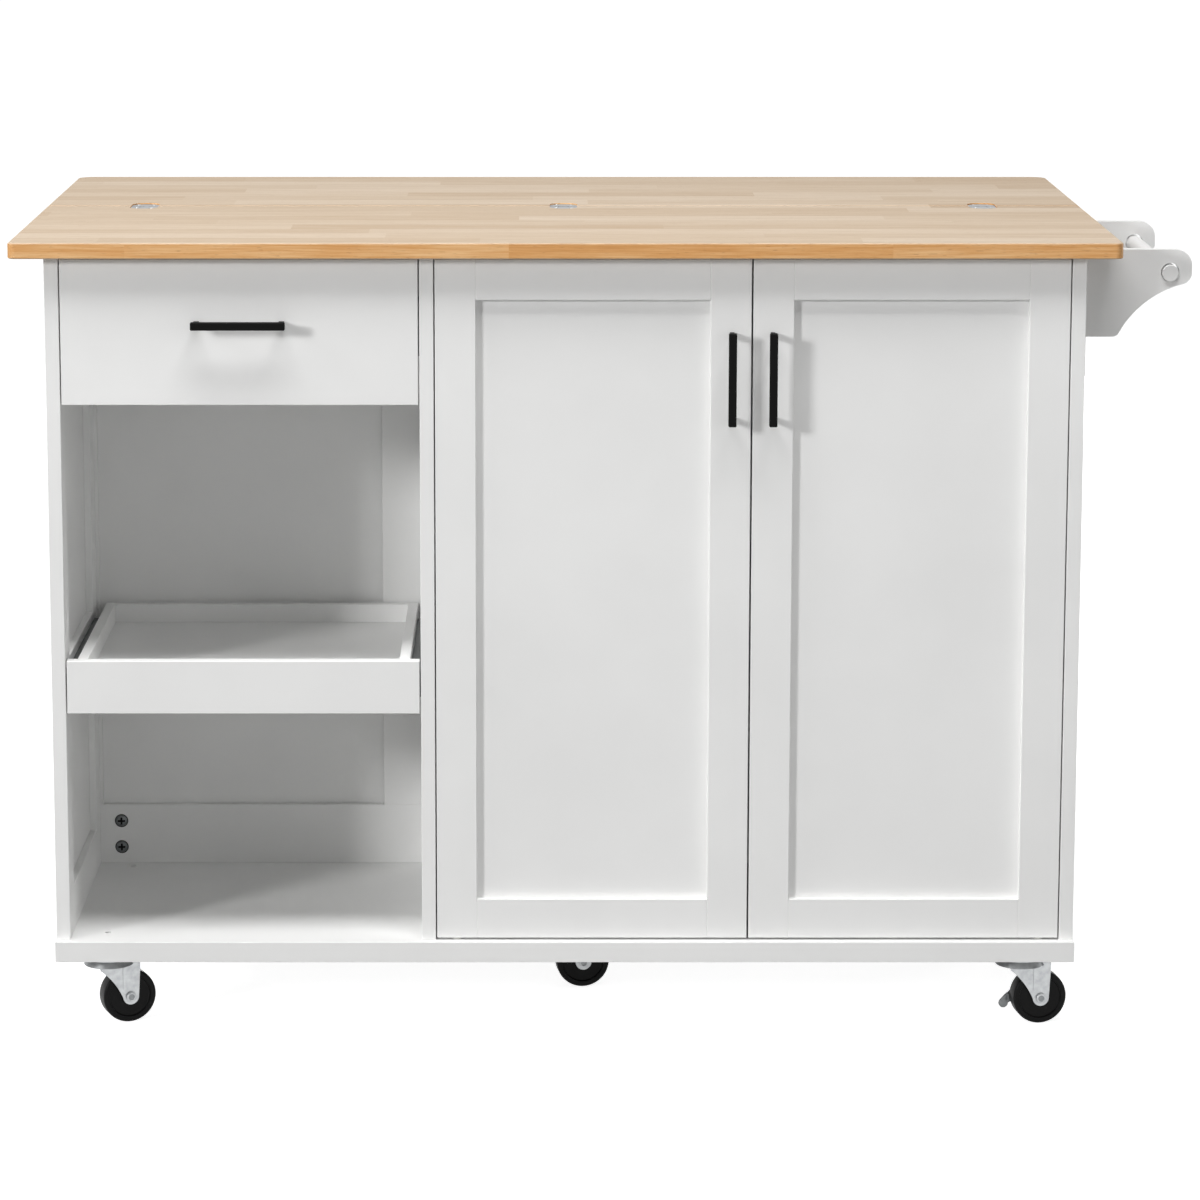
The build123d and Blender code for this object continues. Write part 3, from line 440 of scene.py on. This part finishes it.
# %% [markdown]
# A caster wheel is one moulding: a hub as wide as the tread, a thinner web between them, and a
# thick rim with round shoulders. It is a profile turned round its axle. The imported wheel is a
# plain disc of the same width with a bevel on its shoulders, and this one stands in for it.

# %% Caster wheels
WHEEL_RADIUS_MM = 31.5
WHEEL_HALF_MM = 11.0
HUB_RADIUS_MM = 10.0
BORE_MM = 4.05
WEB_HALF_MM = 8.5
RIM_INNER_MM = 24.5
EDGE_ROUND_MM = 0.8
WEB_ROUND_MM = 1.0
SHOULDER_ROUND_MM = 3.0
ROUND_STEPS = 6
WHEEL_COLUMNS = 96


def rounded(corners, radii):
    """A polyline whose inner corners become arcs: on each corner the arc touches both sides at
    radius / tan(half the angle between them) from the corner."""
    corners = [np.array(corner, float) for corner in corners]
    line = [corners[0]]
    for before, corner, after, radius in zip(corners, corners[1:], corners[2:], radii):
        a, b = (before - corner), (after - corner)
        a, b = a / np.linalg.norm(a), b / np.linalg.norm(b)
        half = math.acos(float(np.clip(a @ b, -1, 1))) / 2
        middle = corner + (a + b) / np.linalg.norm(a + b) * radius / math.sin(half)
        start = corner + a * radius / math.tan(half)
        end = corner + b * radius / math.tan(half)
        first = math.atan2(*(start - middle)[::-1])
        sweep = (math.atan2(*(end - middle)[::-1]) - first + math.pi) % (2 * math.pi) - math.pi
        turns = first + sweep * np.linspace(0, 1, ROUND_STEPS)
        line += list(middle + radius * np.stack([np.cos(turns), np.sin(turns)], -1))
    return np.array(line + [corners[-1]])


def wheel_profile():
    """Half the section from the bore outwards along the near side, over the tread and back
    along the far side, with large round shoulders and small rounds elsewhere."""
    half = [
        (BORE_MM, WHEEL_HALF_MM),
        (HUB_RADIUS_MM, WHEEL_HALF_MM),
        (HUB_RADIUS_MM, WEB_HALF_MM),
        (RIM_INNER_MM, WEB_HALF_MM),
        (RIM_INNER_MM, WHEEL_HALF_MM),
        (WHEEL_RADIUS_MM, WHEEL_HALF_MM),
    ]
    radii = [EDGE_ROUND_MM, WEB_ROUND_MM, WEB_ROUND_MM, EDGE_ROUND_MM, SHOULDER_ROUND_MM]
    corners = half + [(r, -h) for r, h in reversed(half)]
    return rounded(corners, radii + radii[::-1]) * MM


joint_of = {joint["child"]: joint for joint in frame["joints"]}
wheels = [body for body in sorted(frame["bodies"]) if body.startswith("wheel_")]
for body in wheels:
    centre, axis = joint_of[body]["pos_m"], joint_of[body]["axis"]
    wheel = turned_piece(
        "turned_" + body, wheel_profile(), centre, axis, WHEEL_COLUMNS, body, "wheel_rubber"
    )
    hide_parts("caster_" + body)
print(len(wheels), "wheels turned")

# %% [markdown]
# Each axle ends in a riveted eye: a rolled ring round a hollow. The ring is half a circle
# turned round the axle, and the hollow is a shallow dish inside it, in the greyer zinc as
# painted shade.

# %% Rolled ends of the axles
AXLE_FACE_MM = 16.7
EYE_RADIUS_MM = 4.5
EYE_ROUND_MM = 1.1
EYE_FLATNESS = 0.6
EYE_STEPS = 10
DISH_FLOOR_MM = 0.02
DISH_RISE_MM = 0.25
DISH_BACK_MM = -0.1
DISH_MIDDLE_MM = 0.05
DISH_STEPS = 6
EYE_COLUMNS = 48


def eye_profile():
    """(r, h) = (R + c cos t, flatness * c sin t) for t from pi to 0, the inner rim first."""
    t = np.linspace(np.pi, 0.0, EYE_STEPS)
    radius = EYE_RADIUS_MM + EYE_ROUND_MM * np.cos(t)
    return np.stack([radius, EYE_FLATNESS * EYE_ROUND_MM * np.sin(t)], -1) * MM


def dish_profile():
    """h = floor + rise * (r / a) ** 2 from the middle to the ring's inner edge a, over a flat
    underside."""
    r = np.linspace(DISH_MIDDLE_MM, EYE_RADIUS_MM - EYE_ROUND_MM, DISH_STEPS)
    dish = np.stack([r, DISH_FLOOR_MM + DISH_RISE_MM * (r / r[-1]) ** 2], -1)
    return np.concatenate([dish, [(r[-1], DISH_BACK_MM), (r[0], DISH_BACK_MM)]]) * MM


# the hollow takes the darker grey zinc as painted shade inside the ring
eye_parts = (("ring", eye_profile(), "bright_steel"), ("shade_painted_hollow", dish_profile(), "grey_steel"))
for body in wheels:
    axis = np.array(joint_of[body]["axis"], float)
    front = -axis * np.sign(axis[1])
    face = np.array(joint_of[body]["pos_m"]) + front * AXLE_FACE_MM * MM
    fork = body.replace("wheel", "fork")
    for part, profile, slot in eye_parts:
        turned_piece(f"axle_{part}_{fork}", profile, face, front, EYE_COLUMNS, fork, slot)
print(len(wheels), "axle ends of", len(eye_parts), "pieces each")

# %% [markdown]
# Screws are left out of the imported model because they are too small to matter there. In the
# real thing each half hinge of the leaf has two low cross-head screws, and the handles and
# the supports' hinges have pan heads. The bolts of the back are packed as plain discs, and the
# heads made here stand in for those discs. A head is a dome as a height over a disc, and the
# cross is a dip in that height.

# %% Cross-head screws
ROUND_HEAD = 2.5
FLAT_HEAD = 9.0
CROSS_ARM = 0.17
CROSS_REACH = 0.62
CROSS_DEPTH = 0.8
HEAD_MIDDLE = 0.02
HEAD_COLUMNS = 32
HEAD_RINGS = 12
SKIRT_MM = 0.05


def screw_head(centre, axis, radius_mm, dome_mm, power, columns, rings):
    """height(r) = dome * (1 - (r / R) ** power), less CROSS_DEPTH of the dome inside a cross
    whose arms reach CROSS_REACH R from the middle and CROSS_ARM R to each side. A skirt
    closes the rim below the surface."""
    across, up, along = axes_for(axis)
    angle = np.linspace(0, 2 * np.pi, columns, endpoint=False)
    share = np.linspace(HEAD_MIDDLE, 1.0, rings)[:, None]
    u, v = share * np.cos(angle), share * np.sin(angle)
    height = dome_mm * (1 - share**power) + 0 * u
    level_arm = (np.abs(u) < CROSS_REACH) & (np.abs(v) < CROSS_ARM)
    upright_arm = (np.abs(u) < CROSS_ARM) & (np.abs(v) < CROSS_REACH)
    height = np.where(level_arm | upright_arm, height - CROSS_DEPTH * dome_mm, height)
    flat = radius_mm * u[..., None] * across + radius_mm * v[..., None] * up
    points = np.array(centre) + MM * (flat + height[..., None] * along)
    skirt = points[-1] - SKIRT_MM * MM * along
    return np.concatenate([points, skirt[None]])


example = screw_head((0, 0, 0), (0, 0, 1), 1.0, 1.0, ROUND_HEAD, HEAD_COLUMNS, HEAD_RINGS)
print("a head has", example.shape[0], "rings of", example.shape[1], "points")

# %% [markdown]
# Heads of one size on one body make one piece, because they always move together. Each head
# is closed by a fan of triangles in its middle and another below its skirt.

# %% Many heads in one piece
HEAD_SMOOTH_DEG = 40.0


def screws(
    name, places, axis, radius_mm, dome_mm, body, slot,
    power=ROUND_HEAD, columns=HEAD_COLUMNS, rings=HEAD_RINGS,
):
    """One piece that holds the grid of a screw head at each place. After each grid come the
    point that closes its middle and the point that closes it from below."""
    points = []
    for place in places:
        head = screw_head(place, axis, radius_mm, dome_mm, power, columns, rings)
        points += [*head, head[0].mean(0)[None], head[-1].mean(0)[None]]
    middle = (rings + 1) * columns
    below, foot = middle + 1, rings * columns
    j = np.arange(columns)
    after = (j + 1) % columns
    squares = grid_faces(rings + 1, columns, closed=False)
    inner = np.stack([np.full(columns, middle), j, after], -1)
    under = np.stack([np.full(columns, below), foot + after, foot + j], -1)
    faces = [
        face
        for number in range(len(places))
        for part in (squares, inner, under)
        for face in (part + number * (middle + 2)).tolist()
    ]
    return mesh_piece(name, np.concatenate(points), faces, body, slot, HEAD_SMOOTH_DEG)


print("a head is smooth over turns below", HEAD_SMOOTH_DEG, "degrees")

# %% [markdown]
# The leaf hangs on three hinges that are let into the worktop across the seam. Each half is a
# small plate just below the surface, with two screws.

# %% Screws of the leaf's hinges
HINGE_SPREAD_MM = 507.0
HINGE_SCREW_X_MM = 9.0
HINGE_SCREW_Y_MM = 17.0
HINGE_SUNK_MM = 1.2
HINGE_SCREW_MM = (3.3, 0.6)  # radius and dome of a head

top_low, top_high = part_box("fixed_top")
leaf_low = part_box("leaf_top")[0]
seam_y = (top_high.y + leaf_low.y) / 2
middle_x = (top_low.x + top_high.x) / 2
for body, side in (("cabinet", -1), ("leaf", 1)):
    y = seam_y + side * HINGE_SCREW_Y_MM * MM
    places = [
        (middle_x + (hinge_x + screw_x) * MM, y, top_high.z - HINGE_SUNK_MM * MM)
        for hinge_x in (-HINGE_SPREAD_MM, 0.0, HINGE_SPREAD_MM)
        for screw_x in (-HINGE_SCREW_X_MM, HINGE_SCREW_X_MM)
    ]
    screws(f"hinge_screws_{body}", places, (0, 0, 1), *HINGE_SCREW_MM, body, "bright_steel")
print(len(places), "screws on each side of the seam")

# %% [markdown]
# The four pairs of bolts that tie the back to the rear posts have flat round heads with a deep
# cross. Each sits in a hole a little wider than itself, and the gap round it and its cross are
# in shadow. That shade is painted: a thin dark ring round each head and a dark plate in the
# floor of each cross are pieces of their own in the black finish.

# %% Bolts of the back
BOLT_MM = 7.35
BOLT_PAIR_MM = 33.0
BOLT_DOME_MM = 2.4
BOLT_PROUD_MM = 0.06
BOLT_COLUMNS = 64
BOLT_RINGS = 24
CROSS_LONG_MM = 0.6 * BOLT_MM
CROSS_HALF_MM = 0.16 * BOLT_MM
CROSS_TOP_MM = 1.9
CROSS_THICK_MM = 0.4
CROSS_ROWS = (0.01, 0.5, 1.0, 1.0, 0.5, 0.01)  # shares of the way out to the outline
FIRST_ANGLE = 0.001
# the ring of painted shade in the gap round each head, past the rim and just above the rail
GAP_SHADE_MM = ((-0.2, 0.0), (-0.2, 0.1), (0.8, 0.12), (0.9, 0.0))  # past the rim, above the rail
TO_FRONT = (0, -1, 0)

low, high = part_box("rail_bolts")
bolt_x = (low.x + BOLT_MM * MM, high.x - BOLT_MM * MM)
bolt_z = [
    edge + way * rise * MM
    for edge, way in ((low.z, 1), (high.z, -1))
    for rise in (BOLT_MM, BOLT_MM + BOLT_PAIR_MM)
]
places = [(x, high.y - BOLT_PROUD_MM * MM, z) for x in bolt_x for z in bolt_z]
bolts = screws(
    "bolt_heads", places, TO_FRONT, BOLT_MM, BOLT_DOME_MM, "cabinet", "grey_steel",
    FLAT_HEAD, BOLT_COLUMNS, BOLT_RINGS,
)
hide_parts("rail_bolts")


def cross_shade_plate(centre):
    """point(s, t) = s * r(t) * (cos t, sin t), where r(t) is the outline of a cross: the larger
    of min(L / |cos t|, w / |sin t|) and min(L / |sin t|, w / |cos t|). The angle starts a
    little off zero, so that nothing is divided by it. Three rows lie on top and three below.
    The plate is painted shade in the floor of a bolt's cross."""
    across, up, along = axes_for(TO_FRONT)
    angle = np.linspace(0, 2 * np.pi, BOLT_COLUMNS, endpoint=False) + FIRST_ANGLE
    c, s = np.abs(np.cos(angle)), np.abs(np.sin(angle))
    level_arm = np.minimum(CROSS_LONG_MM / c, CROSS_HALF_MM / s)
    upright_arm = np.minimum(CROSS_LONG_MM / s, CROSS_HALF_MM / c)
    outline = np.maximum(level_arm, upright_arm)
    reach = np.array(CROSS_ROWS)[:, None] * outline
    flat = reach[..., None] * (np.cos(angle)[:, None] * across + np.sin(angle)[:, None] * up)
    height = CROSS_TOP_MM - CROSS_THICK_MM * np.array([0, 0, 0, 1, 1, 1])
    return np.array(centre) + MM * (flat + height[:, None, None] * along)


gap_shade_profile = (np.array(GAP_SHADE_MM) + [BOLT_MM, 0.0]) * MM
# each bolt gets a dark plate of painted shade in its cross and a dark ring of painted shade in
# the gap round it
for number, place in enumerate(places):
    shade_plate = cross_shade_plate(place)
    faces = grid_faces(len(shade_plate), BOLT_COLUMNS).tolist()
    mesh_piece(f"bolt_cross_shade_{number}", shade_plate.reshape(-1, 3), faces, "cabinet", "black_metal")
    turned_piece(
        f"bolt_gap_shade_{number}", gap_shade_profile, place, TO_FRONT, BOLT_COLUMNS, "cabinet", "black_metal"
    )
print(len(places), "bolts with their crosses and gaps")

# %% [markdown]
# Behind each handle's legs a pan head shows on the back of the door or the drawer's front.

# %% Screws of the handles
LEG_MM = 5.0
HANDLE_SCREW_MM = (3.6, 1.6)
TO_REAR = (0, 1, 0)

for body in ("left_door", "right_door"):
    low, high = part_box(f"{body}_handle")
    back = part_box(f"{body}_frame")[1].y
    middle = (low.x + high.x) / 2
    places = [(middle, back, z) for z in (low.z + LEG_MM * MM, high.z - LEG_MM * MM)]
    screws(f"handle_screws_{body}", places, TO_REAR, *HANDLE_SCREW_MM, body, "bright_steel")
low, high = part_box("drawer_handle")
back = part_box("drawer_front")[1].y
middle = (low.z + high.z) / 2
places = [(x, back, middle) for x in (low.x + LEG_MM * MM, high.x - LEG_MM * MM)]
screws("handle_screws_drawer", places, TO_REAR, *HANDLE_SCREW_MM, "drawer", "bright_steel")
print("handle screws", HANDLE_SCREW_MM[0], "mm in radius")

# %% [markdown]
# The butt hinges of the swing-out supports have two such heads in each leaf: one leaf lies on
# the post, and the other on the support and turns with it.

# %% Screws of the supports' hinges
PLATE_MM = 1.5
PLATE_MIDDLE_MM = 9.5
HINGE_MIDDLE_MM = 20.0
SUPPORT_SCREW_RISE_MM = 12.0
SUPPORT_SCREW_MM = (3.2, 1.1)

post_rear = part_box("support_posts")[1].y
low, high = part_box("support_hinge_plates")
heights = [
    z + way * SUPPORT_SCREW_RISE_MM * MM
    for z in (low.z + HINGE_MIDDLE_MM * MM, high.z - HINGE_MIDDLE_MM * MM)
    for way in (-1, 1)
]
plate_x = (low.x + PLATE_MIDDLE_MM * MM, high.x - PLATE_MIDDLE_MM * MM)
places = [(x, post_rear + PLATE_MM * MM, z) for x in plate_x for z in heights]
screws("post_hinge_screws", places, TO_REAR, *SUPPORT_SCREW_MM, "cabinet", "bright_steel")
for side, way in (("left", -1), ("right", 1)):
    low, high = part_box(f"{side}_support_hinge_leaves")
    face = (high.x if way < 0 else low.x) + way * PLATE_MM * MM
    places = [(face, high.y - PLATE_MIDDLE_MM * MM, z) for z in heights]
    name, body, outwards = f"{side}_support_screws", f"{side}_support", (way, 0, 0)
    screws(name, places, outwards, *SUPPORT_SCREW_MM, body, "bright_steel")
print(len(heights), "screws in each of", 2 * len(plate_x), "upright rows")

# %% [markdown]
# The picture was taken from the front, a little above the worktop. A long lens far away
# keeps the cabinet's uprights nearly parallel. The pitch, distance and small shifts were
# fitted so that the corners of the worktop and the cabinet land close to where the photograph
# has them in its square frame. Its own camera was level and shifted further, and a shift that
# large would cut the object off in other views, so this one looks down a little instead.

# %% Camera
CAMERA_PLACE_M = (-0.0737, -5.0681, 1.4515)
CAMERA_PITCH_DEG = 9.70

camera_data = bpy.data.cameras.new("camera")
camera_data.sensor_width = 36.0
camera_data.lens = 126.53
camera_data.shift_x = 0.0493
camera_data.shift_y = -0.1
camera_data.clip_end = 200.0
camera = bpy.data.objects.new("camera", camera_data)
camera.location = CAMERA_PLACE_M
camera.rotation_euler = (math.radians(90 - CAMERA_PITCH_DEG), 0.0, 0.0)
bpy.context.scene.collection.objects.link(camera)
bpy.context.scene.camera = camera
print("camera at", CAMERA_PLACE_M, "looking down by", CAMERA_PITCH_DEG, "degrees")

# %% [markdown]
# The shadows in the photograph tell where its lamps stood. Each handle throws one shadow to
# the right and a little down, so the key light is half way round to the left, low and far.
# The shade under the worktop reaches a hand's width down the doors, so a wide lamp hangs
# steeply above. A third, high on the left, reaches the floors of the open bay. The towel arm
# beyond the right side is hardly in shadow, so a very large and weak box stands to the right.
# Two last boxes stand behind and at the right end, lower than the worktop. They are for the
# cabinet's back and side, which the photograph doesn't show, and they also touch the towel
# rack, the wheels and the floor a little. The powers were set by comparing the grey levels of
# the paint with the photograph's, surface by surface.

# %% Soft boxes


def soft_box(name, place, target, width, length, power):
    """An area lamp at place that looks at target; width is level, length lies along the look."""
    lamp = bpy.data.lights.new(name, "AREA")
    lamp.shape = "RECTANGLE"
    lamp.size = width
    lamp.size_y = length
    lamp.energy = power
    holder = bpy.data.objects.new(name, lamp)
    holder.location = place
    holder.visible_camera = False
    direction = np.array(target) - np.array(place)
    from_z = math.atan2(math.hypot(direction[0], direction[1]), -direction[2])
    holder.rotation_euler = (from_z, 0.0, math.atan2(-direction[0], direction[1]))
    bpy.context.scene.collection.objects.link(holder)


# each row is name, place, target, width and length in metres, and power in watts
soft_boxes = (
    ("key_box", (-7.24, -6.79, 3.26), (-0.1, -0.36, 0.6), 1.4, 1.4, 430.0),
    ("top_box", (-0.25, -1.4, 4.11), (-0.1, -0.36, 0.88), 2.8, 1.05, 124.0),
    ("left_box", (-4.0, -1.2, 3.2), (-0.1, -0.3, 0.7), 1.2, 1.2, 42.0),
    ("right_box", (3.6, -4.6, 2.0), (-0.1, -0.36, 0.6), 3.4, 3.4, 36.0),
    ("back_box", (0.6, 5.0, 0.45), (-0.1, 0.0, 0.5), 2.4, 0.7, 95.0),
    ("side_box", (4.4, 2.4, 0.45), (0.5, -0.1, 0.5), 1.6, 0.7, 48.0),
)
for row in soft_boxes:
    soft_box(*row)
print(len(soft_boxes), "soft boxes")

# %% [markdown]
# The photograph's ground is pure white. The world shows white to the camera and in
# reflections, but lights the object with a dark grey.

# %% White world
WHITE = (1.0, 1.0, 1.0, 1.0)
CALM = 0.07


def seen_rays(tree):
    """1 for the camera's rays and for those that metal or glass sends on, 0 for the rest."""
    rays = add_node(tree, "LightPath").outputs
    glossy, through = rays["Is Glossy Ray"], rays["Is Transmission Ray"]
    sent_on = add_node(tree, "Math", operation="MAXIMUM", in0=glossy, in1=through)
    return add_node(tree, "Math", operation="MAXIMUM", in0=rays["Is Camera Ray"], in1=sent_on)


world = bpy.data.worlds.new("studio")
bpy.context.scene.world = world
world.use_nodes = True
tree = world.node_tree
tree.nodes.clear()
calm = add_node(tree, "Background", Color=WHITE, Strength=CALM)
white = add_node(tree, "Background", Color=WHITE, Strength=1.0)
both = add_node(tree, "MixShader", in0=seen_rays(tree), in1=calm, in2=white)
add_node(tree, "OutputWorld", Surface=both)
print("the world lights with a strength of", CALM)

# %% [markdown]
# The floor is matt white paper. It glows for the same rays only, fully white far away and a
# little less near the object, where the lamps add the rest, so that the soft shadow under the
# cabinet stays. For all other rays it is a darker grey, which throws less light up.

# %% Paper floor
FLOOR_HALF_M = 60.0

floor_material, tree, ground = new_material("paper_floor")
paper = add_node(tree, "BsdfDiffuse", Color=hex_colour("#E4E4E4"))
dimmer = add_node(tree, "BsdfDiffuse", Color=hex_colour("#9A9A9A"))
distance = add_node(tree, "VectorMath", operation="LENGTH", in0=ground).outputs["Value"]
whiter = add_node(
    tree, "MapRange", Value=distance, From_Min=1.0, From_Max=5.0, To_Min=0.86, To_Max=1.0
)
glow = add_node(tree, "Emission", Color=WHITE, Strength=whiter)
shown = add_node(tree, "AddShader", in0=paper, in1=glow)
both = add_node(tree, "MixShader", in0=seen_rays(tree), in1=dimmer, in2=shown)
add_node(tree, "OutputMaterial", Surface=both)

floor_mesh = bpy.data.meshes.new("floor")
corners = np.array([[-1, -1, 0], [1, -1, 0], [1, 1, 0], [-1, 1, 0]]) * FLOOR_HALF_M
floor_mesh.from_pydata(corners.tolist(), [], [(0, 1, 2, 3)])
floor_mesh.materials.append(floor_material)
floor = bpy.data.objects.new("floor", floor_mesh)
bpy.context.scene.collection.objects.link(floor)
print("floor", 2 * FLOOR_HALF_M, "m wide")

# %% [markdown]
# The view transform is Standard, so a colour shows as it was written.

# %% Colour management and the end
bpy.context.scene.view_settings.view_transform = "Standard"
